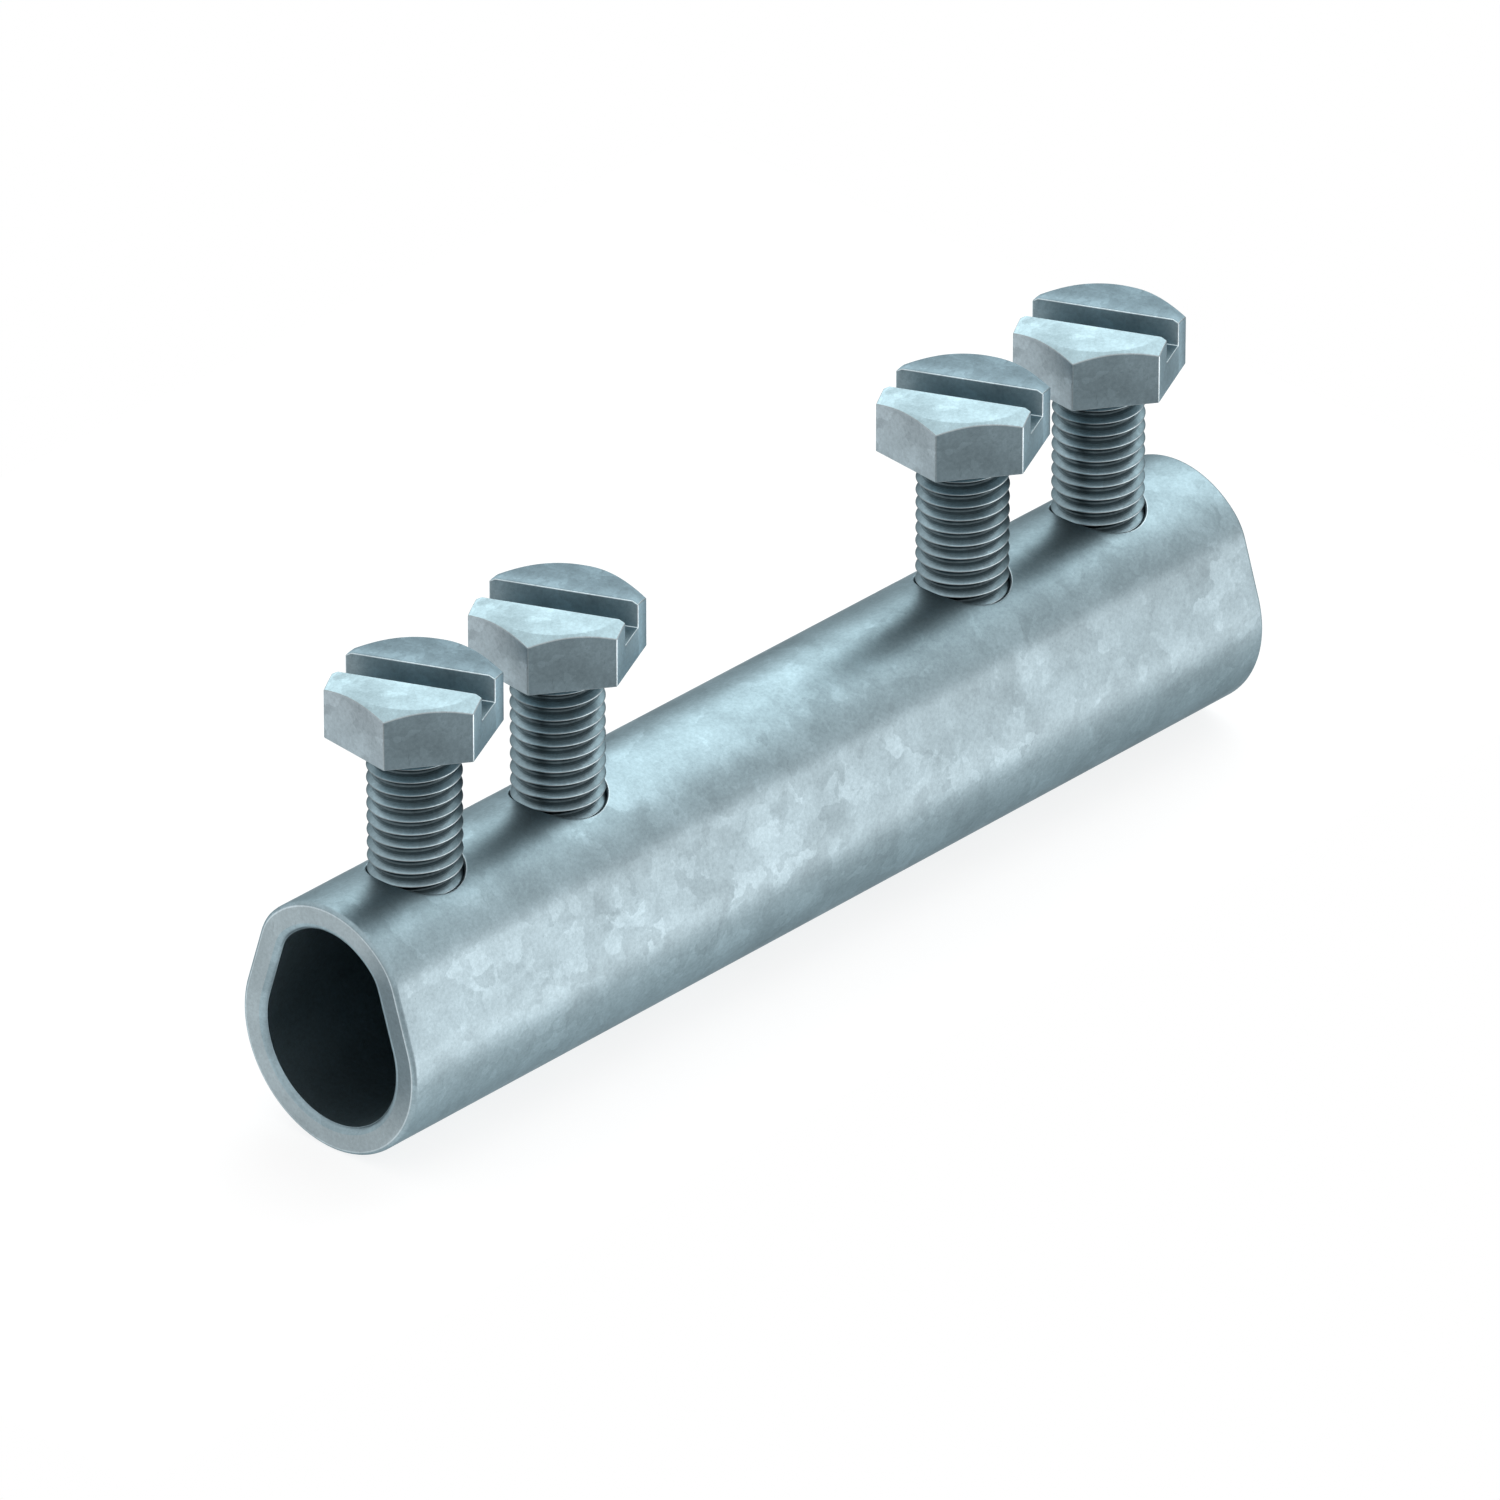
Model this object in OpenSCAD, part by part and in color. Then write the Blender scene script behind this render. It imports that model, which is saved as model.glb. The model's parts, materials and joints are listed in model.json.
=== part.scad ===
// Lightning conductor connector
//
// A straight steel sleeve that joins two round conductors end to end.
// One conductor goes in at each end and lies in the round seat at the
// bottom. Two hex head screws over each conductor press it into the seat.
//
// Millimetres. +X runs along the conductors and +Z up along the screws.
// The origin is on the axis of the round seat, halfway along the sleeve.

/* [Sleeve] */
// Length of the sleeve, from end face to end face
sleeve_l = 130; // [110:1:180]
// Diameter of the round seat that the conductors lie in
seat_d = 18; // [16:0.5:22]
// Thickness of the wall all round
wall = 3; // [2.5:0.1:4]
// Clear height inside, from the bottom of the seat to the crown
inner_h = 22; // [20:0.5:26]
// Inner radius of the two shoulders beside the crown
shoulder_r = 4; // [3:0.25:4.75]
// Distance between the centres of the two shoulder curves
shoulder_gap = 5.6; // [4:0.2:7]
// How far the crown stands above the tops of the shoulder curves
crown_rise = 1.2; // [0.8:0.1:1.8]

/* [Screw holes] */
// Distance from an end face to the hole nearest to it
end_margin = 13; // [11:0.5:18]
// Distance between the two holes over one conductor
pair_pitch = 21.2; // [19:0.2:26]
// Gap between the crest of the thread and the wall of the hole
thread_play = 0.1; // [0.05:0.01:0.15]

/* [Screws] */
// Outer diameter of the screw thread
thread_d = 9.8; // [8:0.1:10]
// Pitch of the thread, from crest to crest
thread_pitch = 1.5; // [1:0.25:1.75]
// Length of the screw under its head
shank_l = 20; // [18:0.5:24]
// Length of the bevel at the tip of the screw
tip_bevel = 1; // [0.5:0.1:1.5]
// How far the underside of the heads stands above the crown
head_lift = 15.4; // [13:0.1:16]
// Turn of the screws, from +X to the nearest corner of the head
head_turn = 24; // [0:1:59]

/* [Screw heads] */
// Width of the hexagon across its flats
head_af = 16; // [14:0.5:18]
// Height of the head
head_h = 6.4; // [5.5:0.1:8]
// Diameter of the flat circle on top, inside the bevelled corners
head_top_d = 15.3; // [13:0.1:15.5]
// Slope of the bevel at the corners
head_bevel_angle = 30; // [20:1:40]
// Width of the slot for a flat blade
slot_w = 4; // [2:0.1:5]
// Depth of the slot
slot_depth = 3; // [2:0.1:4]

/* [Hidden] */
$fn = 96;
over = 1; // how far a cut reaches past the face that it opens
hair = 0.002; // how deep one part of the section is let into the next

// Section of the sleeve
seat_r = seat_d / 2;
crown_z = inner_h - seat_r + wall; // top of the sleeve
shoulder_x = shoulder_gap / 2;
shoulder_z = crown_z - crown_rise - wall - shoulder_r;

// The arc over the crown touches both shoulder curves from outside them
drop = crown_z - wall - shoulder_z;
crown_r = (shoulder_x ^ 2 + drop ^ 2 - shoulder_r ^ 2)
        / (2 * (drop - shoulder_r));
crown_arc_z = crown_z - wall - crown_r;

// Directions in which the straight flank leaves the seat, and in which the
// arc over the crown leaves the shoulder, both from the level
flank_dir = atan2(shoulder_z, shoulder_x)
          - acos((seat_r - shoulder_r) / norm([shoulder_x, shoulder_z]));
crown_dir = atan2(shoulder_z - crown_arc_z, shoulder_x);

// Holes and screws
outer_x = sleeve_l / 2 - end_margin;
inner_x = outer_x - pair_pitch;
screw_x = [-outer_x, -inner_x, inner_x, outer_x];
hole_r = thread_d / 2 + thread_play;

// Thread of 60 degrees, with its crests cut off at an eighth of the pitch
crest_w = thread_pitch / 8;
thread_depth = 0.613 * thread_pitch;
flank_w = thread_depth * tan(30);
core_r = thread_d / 2 - thread_depth;

// The point of a circle of radius r round [cx, cz], in direction dir
function on_arc(cx, cz, r, dir) = [cx + r * cos(dir), cz + r * sin(dir)];
function mirrored(p) = [-p[0], p[1]];

// Section of the sleeve, grown outwards by grow from its inner face.
// Every arc keeps its centre, so the wall has one thickness all round. The
// flanks and the crown are let into the round parts by a hair.
module section(grow) {
    flat_r = shoulder_r + grow - hair;
    flank_foot = on_arc(0, 0, seat_r + grow - hair, flank_dir);
    flank_top = on_arc(shoulder_x, shoulder_z, flat_r, flank_dir);
    crown_foot = on_arc(shoulder_x, shoulder_z, flat_r, crown_dir);

    // Round seat at the bottom
    circle(r = seat_r + grow);
    // Leaning flanks
    polygon([flank_foot, flank_top, crown_foot, mirrored(crown_foot),
             mirrored(flank_top), mirrored(flank_foot)]);
    // Shoulders
    for (side = [-1, 1])
        translate([side * shoulder_x, shoulder_z])
            circle(r = shoulder_r + grow);
    // Crown
    intersection() {
        translate([0, crown_arc_z])
            circle(r = crown_r + grow - hair);
        polygon([[0, crown_arc_z],
                 on_arc(0, crown_arc_z, 3 * crown_r, crown_dir),
                 on_arc(0, crown_arc_z, 3 * crown_r, 180 - crown_dir)]);
    }
}

// The section drawn out along X, length l, centred on the origin
module along_x(l) {
    rotate([90, 0, 90])
        translate([0, 0, -l / 2])
            linear_extrude(height = l)
                children();
}

// One hole, from inside the hollow out through the crown
module screw_hole() {
    translate([0, 0, shoulder_z])
        cylinder(r = hole_r, h = crown_z - shoulder_z + over);
}

// Shank with a ring for each turn of the thread. The screw's own zero is
// the underside of the head, and the tip points down.
module threaded_shank() {
    turns = floor((shank_l - tip_bevel) / thread_pitch);
    // One groove under each crest, from the head down
    grooves = [for (n = [0 : turns - 1], p = [
        [thread_d / 2, -n * thread_pitch - crest_w / 2],
        [core_r, -n * thread_pitch - crest_w / 2 - flank_w],
        [core_r, -(n + 1) * thread_pitch + crest_w / 2 + flank_w],
        [thread_d / 2, -(n + 1) * thread_pitch + crest_w / 2]]) p];
    rotate_extrude()
        polygon(concat(
            [[0, over], [thread_d / 2, over]],
            grooves,
            [[thread_d / 2, tip_bevel - shank_l],
             [thread_d / 2 - tip_bevel, -shank_l],
             [0, -shank_l]]));
}

// Hexagon with bevelled corners, and a slot that runs out through two of
// its flats
module slotted_head() {
    bevel_base_r = head_top_d / 2 + head_h / tan(head_bevel_angle);
    difference() {
        intersection() {
            cylinder(d = head_af / cos(30), h = head_h, $fn = 6);
            cylinder(r1 = bevel_base_r, d2 = head_top_d, h = head_h);
        }
        translate([-slot_w / 2, -head_af, head_h - slot_depth])
            cube([slot_w, 2 * head_af, slot_depth + over]);
    }
}

// Screw over the hole number n, turned in as far as the heads stand
module clamp_screw(n) {
    color("lightsteelblue")
        translate([screw_x[n], 0, crown_z + head_lift])
            rotate([0, 0, head_turn]) {
                threaded_shank();
                slotted_head();
            }
}

module sleeve() {
    color("slategray")
        difference() {
            along_x(sleeve_l)
                difference() {
                    section(wall);
                    section(0);
                }
            for (x = screw_x)
                translate([x, 0, 0])
                    screw_hole();
        }
}

module clamp_screw_1() { clamp_screw(0); }
module clamp_screw_2() { clamp_screw(1); }
module clamp_screw_3() { clamp_screw(2); }
module clamp_screw_4() { clamp_screw(3); }

sleeve();
clamp_screw_1();
clamp_screw_2();
clamp_screw_3();
clamp_screw_4();
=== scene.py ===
# %% [markdown]
# # A lightning conductor connector
#
# The connector is a straight galvanised steel sleeve, open at both ends. The
# bottom of the sleeve is a round seat, and four slotted hexagon screws come
# down through its crown to clamp what lies in the seat.
#
# The solid model already has the true sizes, and the physics uses it as it
# is. This lesson makes the pieces that the eye looks at: a sleeve with
# rounded rims and hole mouths, screws with a real helix, and a zinc coat with
# its spangle. Everything stays in the solid model's frame, in metres.

# %% Load the solid model
import json
import math

import bmesh
import bpy
from mathutils import Matrix, Vector


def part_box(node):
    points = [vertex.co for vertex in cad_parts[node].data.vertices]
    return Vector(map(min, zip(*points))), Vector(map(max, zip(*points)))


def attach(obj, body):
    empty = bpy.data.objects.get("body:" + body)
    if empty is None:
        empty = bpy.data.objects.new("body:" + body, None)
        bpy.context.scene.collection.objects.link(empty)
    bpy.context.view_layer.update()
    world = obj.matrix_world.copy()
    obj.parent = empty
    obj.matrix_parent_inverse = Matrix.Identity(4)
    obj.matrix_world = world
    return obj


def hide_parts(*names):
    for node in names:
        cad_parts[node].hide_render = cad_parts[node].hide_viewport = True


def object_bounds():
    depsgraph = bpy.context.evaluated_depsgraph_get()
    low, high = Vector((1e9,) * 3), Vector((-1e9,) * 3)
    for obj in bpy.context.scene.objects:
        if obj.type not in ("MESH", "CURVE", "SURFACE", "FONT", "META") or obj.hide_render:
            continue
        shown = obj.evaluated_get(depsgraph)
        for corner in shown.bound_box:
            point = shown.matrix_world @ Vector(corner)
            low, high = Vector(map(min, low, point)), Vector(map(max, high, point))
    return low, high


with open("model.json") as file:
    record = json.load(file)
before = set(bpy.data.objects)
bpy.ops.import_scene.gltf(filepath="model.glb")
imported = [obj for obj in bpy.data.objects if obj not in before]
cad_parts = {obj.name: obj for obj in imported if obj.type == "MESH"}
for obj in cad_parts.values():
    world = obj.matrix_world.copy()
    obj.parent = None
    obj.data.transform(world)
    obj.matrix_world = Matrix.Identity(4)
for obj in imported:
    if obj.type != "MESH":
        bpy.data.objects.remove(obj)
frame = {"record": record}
solid_low, solid_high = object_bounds()
MM = 0.001
print("solid model, mm:", [round(side / MM, 2) for side in solid_high - solid_low])

# %% [markdown]
# ## The camera
#
# The photograph was taken from far away with a long lens, so that parallel
# lines stay nearly parallel. Its place came from fitting the edges of the
# sleeve and the heads of the screws. The camera looks back along the
# direction given here, as an azimuth round the part and a height above it.

# %% Set up the camera
CAMERA_AZIMUTH = math.radians(-47.512)
CAMERA_HEIGHT = math.radians(29.083)
CAMERA_TARGET = Vector((1.679, 3.231, 5.737)) * MM
CAMERA_DISTANCE = 2050.3 * MM
LENS_MM, SENSOR_MM = 476.4, 36.0


def direction(azimuth, height):
    """The unit vector towards that azimuth and height, in radians. Azimuth 0 is -Y."""
    level = math.cos(height)
    return Vector((math.sin(azimuth) * level, -math.cos(azimuth) * level, math.sin(height)))


def aim(thing, place, target):
    """Puts a camera or lamp at place, looking at target with its own up side up."""
    thing.location = place
    thing.rotation_mode = "QUATERNION"
    thing.rotation_quaternion = (target - place).to_track_quat("-Z", "Y")


scene = bpy.context.scene
camera_data = bpy.data.cameras.new("camera")
camera_data.sensor_width, camera_data.lens = SENSOR_MM, LENS_MM
camera_data.clip_start, camera_data.clip_end = 0.05, 20.0
camera = bpy.data.objects.new("camera", camera_data)
scene.collection.objects.link(camera)
towards_camera = direction(CAMERA_AZIMUTH, CAMERA_HEIGHT)
aim(camera, CAMERA_TARGET + towards_camera * CAMERA_DISTANCE, CAMERA_TARGET)
scene.camera = camera
print("camera at, mm:", [round(c / MM) for c in camera.location])

# %% [markdown]
# ## The sleeve's section
#
# The sleeve is one shape all along its length: a round seat below, leaning
# flanks, two shoulders and a low crown. Each arc keeps its centre when the
# outline is grown from the inner face to the outer one, so one function gives
# every layer of the wall. Half of the outline is enough, since the other half
# mirrors it.

# %% Work out the section
seat_mount = next(m for m in frame["record"]["mounts"] if m["name"] == "conductor_seat")
sleeve_low, sleeve_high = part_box("sleeve")
HALF_LENGTH = sleeve_high.x
SEAT_R = seat_mount["dims"]["r_mm"] * MM
WALL = -sleeve_low.z - SEAT_R
CROWN_Z = sleeve_high.z
SHOULDER_R = 4.0 * MM
SHOULDER_Y = 2.8 * MM
CROWN_RISE = 1.2 * MM

shoulder_z = CROWN_Z - CROWN_RISE - WALL - SHOULDER_R
crown_drop = CROWN_Z - WALL - shoulder_z
crown_r = (SHOULDER_Y ** 2 + crown_drop ** 2 - SHOULDER_R ** 2) / (2 * (crown_drop - SHOULDER_R))
crown_arc_z = CROWN_Z - WALL - crown_r
flank_turn = (math.atan2(shoulder_z, SHOULDER_Y)
              - math.acos((SEAT_R - SHOULDER_R) / math.hypot(SHOULDER_Y, shoulder_z)))
crown_turn = math.atan2(shoulder_z - crown_arc_z, SHOULDER_Y)
# The screw holes are cut from the part of the outline above this turn
PATCH_TURN = math.radians(35)
SEAT_STEPS, FLANK_STEPS, SHOULDER_STEPS, PATCH_STEPS, CROWN_STEPS = 36, 8, 4, 2, 10


def polar(y, z, radius, turn):
    """The point of a circle round (y, z), in the plane of the section."""
    return y + radius * math.cos(turn), z + radius * math.sin(turn)


def spread(start, end, steps):
    """The numbers from start towards end in equal steps, without end itself."""
    return [start + (end - start) * step / steps for step in range(steps)]


def outline(grow):
    """The section, grown by grow from its inner face, as (y, z) points from the bottom by +Y."""
    half = [polar(0, 0, SEAT_R + grow, turn)
            for turn in spread(-math.pi / 2, flank_turn, SEAT_STEPS)]
    foot = polar(0, 0, SEAT_R + grow, flank_turn)
    top = polar(SHOULDER_Y, shoulder_z, SHOULDER_R + grow, flank_turn)
    half += zip(spread(foot[0], top[0], FLANK_STEPS), spread(foot[1], top[1], FLANK_STEPS))
    shoulder = spread(flank_turn, PATCH_TURN, SHOULDER_STEPS)
    shoulder += spread(PATCH_TURN, crown_turn, PATCH_STEPS)
    half += [polar(SHOULDER_Y, shoulder_z, SHOULDER_R + grow, turn) for turn in shoulder]
    half += [polar(0, crown_arc_z, crown_r + grow, turn)
             for turn in spread(crown_turn, math.pi / 2, CROWN_STEPS)]
    return half + [(0.0, crown_arc_z + crown_r + grow)] + [(-y, z) for y, z in reversed(half[1:])]


def top_height(y, grow):
    """Height of the crown or the shoulder at y, for the section grown by grow."""
    if abs(y) <= (crown_r + grow) * math.cos(crown_turn):
        return crown_arc_z + math.sqrt((crown_r + grow) ** 2 - y * y)
    return shoulder_z + math.sqrt((SHOULDER_R + grow) ** 2 - (abs(y) - SHOULDER_Y) ** 2)


ring_size = len(outline(0.0))
patch_first = SEAT_STEPS + FLANK_STEPS + SHOULDER_STEPS
patch_last = ring_size - patch_first
print("points round the section:", ring_size, " wall, mm:", round(WALL / MM, 3))

# %% [markdown]
# ## Stations along the sleeve
#
# The wall is lofted through a closed round of stations: along the outside,
# over a small rounded rim, across the end face, over a softer rim and back
# along the inside. Each station is a place along X and a growth of the
# section. The stations beside a hole are set closer together, so that the
# grid there matches the patch round the hole.

# %% Place the stations
SCREWS = ["clamp_screw_1", "clamp_screw_2", "clamp_screw_3", "clamp_screw_4"]
OUTER_RIM, INNER_RIM = 0.5 * MM, 0.7 * MM
RIM_STEPS = 5
PATCH_HALF = 7.0 * MM
PATCH_COLUMNS = 16
COLUMN = 2.0 * MM


def middle(node):
    """The middle of a solid piece's box."""
    low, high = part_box(node)
    return (low + high) / 2


screw_x = [middle(name).x for name in SCREWS]
edges = [-HALF_LENGTH + OUTER_RIM]
for x in screw_x:
    edges += [x - PATCH_HALF, x + PATCH_HALF]
edges.append(HALF_LENGTH - OUTER_RIM)
columns = []
for index, (start, end) in enumerate(zip(edges, edges[1:])):
    beside_hole = index % 2 == 1
    steps = PATCH_COLUMNS if beside_hole else max(1, round((end - start) / COLUMN))
    columns += spread(start, end, steps)
columns.append(edges[-1])


def rim(radius):
    """A quarter round as (how far along, how far in) from the flat side of a wall to its end."""
    turns = [math.pi / 2 * step / RIM_STEPS for step in range(1, RIM_STEPS + 1)]
    return [(radius * math.sin(turn), radius * (1 - math.cos(turn))) for turn in turns]


outer_end = [(HALF_LENGTH - OUTER_RIM + along, WALL - inward)
             for along, inward in rim(OUTER_RIM)]
inner_end = [(HALF_LENGTH - INNER_RIM + along, inward) for along, inward in rim(INNER_RIM)]
half_round = outer_end + inner_end[::-1]
stations = [(x, WALL) for x in columns] + half_round
inside_start = len(stations)
stations += [(x, 0.0) for x in reversed(columns)] + [(-x, grow) for x, grow in reversed(half_round)]
print("stations:", len(stations))

# %% [markdown]
# ## The screw holes
#
# A round hole in a grid of four-sided faces is made in three parts. A block
# of faces is left out, rings of points lead from the edge of that block to
# the hole, and the last rings roll over the mouth and go down the wall of the
# hole to the inside. A boolean would cut the same hole, but its long thin
# faces would spoil the reflections on the crown.

# %% Roll the mouth of a hole
HOLE_R = 5.0 * MM
MOUTH_ROUND = 0.2 * MM
MOUTH_STEPS = 6


def mouth(turn, x):
    """The rounded mouth of a hole in one direction, as points from the crown to its wall."""
    across = abs(math.sin(turn))
    slope = math.asin((HOLE_R + MOUTH_ROUND) * across / (crown_r + WALL)) * across
    touch = HOLE_R + MOUTH_ROUND * (1 + math.sin(slope))
    level = top_height(touch * math.sin(turn), WALL) - MOUTH_ROUND * math.cos(slope)
    points = []
    for step in range(MOUTH_STEPS + 1):
        angle = math.pi / 2 - slope + (math.pi / 2 + slope) * step / MOUTH_STEPS
        reach = HOLE_R + MOUTH_ROUND * (1 + math.cos(angle))
        height = level + MOUTH_ROUND * math.sin(angle)
        points.append((x + reach * math.cos(turn), reach * math.sin(turn), height))
    return points


print("top of a mouth, mm:", round(mouth(0, 0)[0][2] / MM, 2), "along the sleeve and",
      round(mouth(math.pi / 2, 0)[0][2] / MM, 2), "across it")

# %% Fill the grid round a hole
# Rings of faces round a hole, outside and inside, and how they crowd the mouth
PATCH_RINGS, INNER_RINGS, RING_CROWDING = 7, 4, 1.5
# Painted highlight: the mouths take the paler zinc on the side of this turn
MOUTH_HIGHLIGHT_TURN, MOUTH_HIGHLIGHT_REACH = math.radians(-50), math.radians(100)


def ring_between(outer, inner, share):
    """Plan points at share of the way from an outer ring of them to an inner one."""
    return [(a[0] + (b[0] - a[0]) * share, a[1] + (b[1] - a[1]) * share)
            for a, b in zip(outer, inner)]


def turn_round(x, point):
    """The turn of a point of the mesh round the axis of the hole at x, from 0 to a whole turn."""
    return math.atan2(point.co.y, point.co.x - x) % math.tau


def build_hole(mesh, grid, x, hole):
    """Fills the block left out of the grid round x with the mouth and the wall of the hole."""
    loops = []
    for inside in (False, True):
        rows = sorted(i for i in hole if (i >= inside_start) == inside)
        border = [grid[i][k] for i in (rows[0], rows[-1])
                  for k in range(patch_first, patch_last + 1)]
        border += [grid[i][k] for i in rows[1:-1] for k in (patch_first, patch_last)]
        loops.append(sorted(border, key=lambda point: turn_round(x, point)))
    outer, inner = loops
    turns = [(turn_round(x, a) + turn_round(x, b)) / 2 for a, b in zip(outer, inner)]
    mouths = [mouth(turn, x) for turn in turns]
    rings = [outer]
    border = [(point.co.x, point.co.y) for point in outer]
    lip = [(points[0][0], points[0][1]) for points in mouths]
    for step in range(1, PATCH_RINGS):
        plan = ring_between(border, lip, 1 - (1 - step / PATCH_RINGS) ** RING_CROWDING)
        rings.append([mesh.verts.new((px, py, top_height(py, WALL))) for px, py in plan])
    mouth_ring = len(rings)
    for step in range(MOUTH_STEPS + 1):
        rings.append([mesh.verts.new(points[step]) for points in mouths])
    wall_ring = len(rings) - 1
    bore = [(x + HOLE_R * math.cos(turn), HOLE_R * math.sin(turn)) for turn in turns]
    border = [(point.co.x, point.co.y) for point in inner]
    for step in range(INNER_RINGS):
        plan = ring_between(bore, border, step / INNER_RINGS)
        rings.append([mesh.verts.new((px, py, top_height(py, 0.0))) for px, py in plan])
    rings.append(inner)
    for n, (upper, lower) in enumerate(zip(rings, rings[1:])):
        for k in range(len(upper)):
            m = (k + 1) % len(upper)
            face = mesh.faces.new((upper[k], upper[m], lower[m], lower[k]))
            # Painted highlight: mouth faces on one side get the paler zinc of material 1
            highlight_side = abs(math.remainder(turns[k] - MOUTH_HIGHLIGHT_TURN, math.tau)) < MOUTH_HIGHLIGHT_REACH
            face.material_index = int(highlight_side and mouth_ring <= n < wall_ring)


print("rings of faces in a hole:", PATCH_RINGS + MOUTH_STEPS + 1 + INNER_RINGS)

# %% Build the sleeve
# Two places closer together than this are the same
HAIR = 0.0001 * MM
# Share of the rim's rounding, next to the end face, that carries a painted highlight in paler zinc
RIM_HIGHLIGHT_SHARE = 0.06
# Edges that turn more than this stay hard
SHARP_TURN = math.radians(35)


def build_sleeve():
    """The sleeve as one closed mesh, with painted highlights on rims and mouths in material 1 and
    end faces in material 2.
    """
    mesh = bmesh.new()
    grid = [[mesh.verts.new((x, y, z)) for y, z in outline(grow)] for x, grow in stations]
    holes = [{i for i, (along, grow) in enumerate(stations)
              if abs(along - x) <= PATCH_HALF + HAIR and grow in (0.0, WALL)} for x in screw_x]
    highlit_rim = {i for i, (x, grow) in enumerate(stations)
                if abs(x) > HALF_LENGTH - RIM_HIGHLIGHT_SHARE * OUTER_RIM and grow >= WALL - OUTER_RIM - HAIR}

    for i in range(len(stations)):
        j = (i + 1) % len(stations)
        for k in range(ring_size):
            m = (k + 1) % ring_size
            in_patch = patch_first <= k < patch_last
            if in_patch and any(i in hole and j in hole for hole in holes):
                continue
            face = mesh.faces.new((grid[i][k], grid[j][k], grid[j][m], grid[i][m]))
            # Painted highlight: the rim next to each end face takes the paler zinc of material 1
            if {i, j} <= highlit_rim:
                face.material_index = 1
            elif min(abs(stations[i][0]), abs(stations[j][0])) > HALF_LENGTH - HAIR:
                face.material_index = 2

    for x, hole in zip(screw_x, holes):
        build_hole(mesh, grid, x, hole)
    bmesh.ops.recalc_face_normals(mesh, faces=mesh.faces[:])
    return mesh


def shade_softly(data):
    """Shades a mesh smooth, with hard edges where it turns sharply."""
    data.shade_smooth()
    data.set_sharp_from_angle(angle=SHARP_TURN)


def to_object(name, mesh):
    """Turns a bmesh into an object in the scene, and says how many edges it leaves open."""
    data = bpy.data.meshes.new(name)
    open_edges = sum(1 for edge in mesh.edges if len(edge.link_faces) != 2)
    mesh.to_mesh(data)
    mesh.free()
    shade_softly(data)
    thing = bpy.data.objects.new(name, data)
    scene.collection.objects.link(thing)
    print(f"{name}: {len(data.polygons)} faces, {open_edges} open edges")
    return thing


sleeve = to_object("galvanised_sleeve", build_sleeve())

# %% [markdown]
# ## The screws
#
# Each screw is a full M10 thread below a hexagon head. One turn of the thread
# has a short profile: a crest that is rounded above and keen below, two flanks
# that lean 30 degrees and a rounded root. Rows of points carry this profile
# up the screw and climb by one pitch in each turn, so that every edge of the
# mesh runs along the helix. Rows that stay level would cut across the crests
# and make them look ragged. The rows lie closest together at the crest, where
# the eye sees them.

# %% Build the threaded shank
screw_low, screw_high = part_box(SCREWS[0])
HEAD_H = 6.4 * MM
SHANK_L = screw_high.z - screw_low.z - HEAD_H
PITCH = 1.5 * MM
THREAD_R = 4.9 * MM
THREAD_DEPTH = 0.613 * PITCH
FLANK_SLOPE = math.tan(math.radians(30))
CREST_ROUND, CREST_UNDERSIDE, ROOT_ROUND = 0.10 * MM, 0.02 * MM, 0.12 * MM
TIP_BEVEL = 1.0 * MM
HEAD_TURN = math.radians(24)
# A crest passes this turn round the screw at this height
CREST_TURN, CREST_Z = math.radians(-137.5), 21.82 * MM
TURN_STEPS = 96
# Heights of the rows above a crest, up to the middle of the root
CREST_TO_ROOT = [place * MM for place in
                 (0, 0.03, 0.07, 0.12, 0.19, 0.30, 0.42, 0.54, 0.63, 0.70, 0.75)]
row_places = CREST_TO_ROOT + [PITCH - place for place in CREST_TO_ROOT[-2:0:-1]]
ROWS_PER_PITCH = len(row_places)
# Rows along the crest that take the paler zinc, counted from the crest: partly wear, partly a
# painted highlight
CREST_HIGHLIGHT_ROWS = (0, 1)
head_z = screw_high.z - HEAD_H


def thread_radius(place):
    """Radius of the thread at a height above a crest, up to one pitch."""
    off_crest = min(place, PITCH - place)
    rounding = CREST_ROUND if place < PITCH / 2 else CREST_UNDERSIDE
    depth = (math.hypot(off_crest, rounding) - rounding) / FLANK_SLOPE
    above_root = THREAD_DEPTH - depth
    return THREAD_R - THREAD_DEPTH + (above_root + math.hypot(above_root, ROOT_ROUND)) / 2


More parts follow.
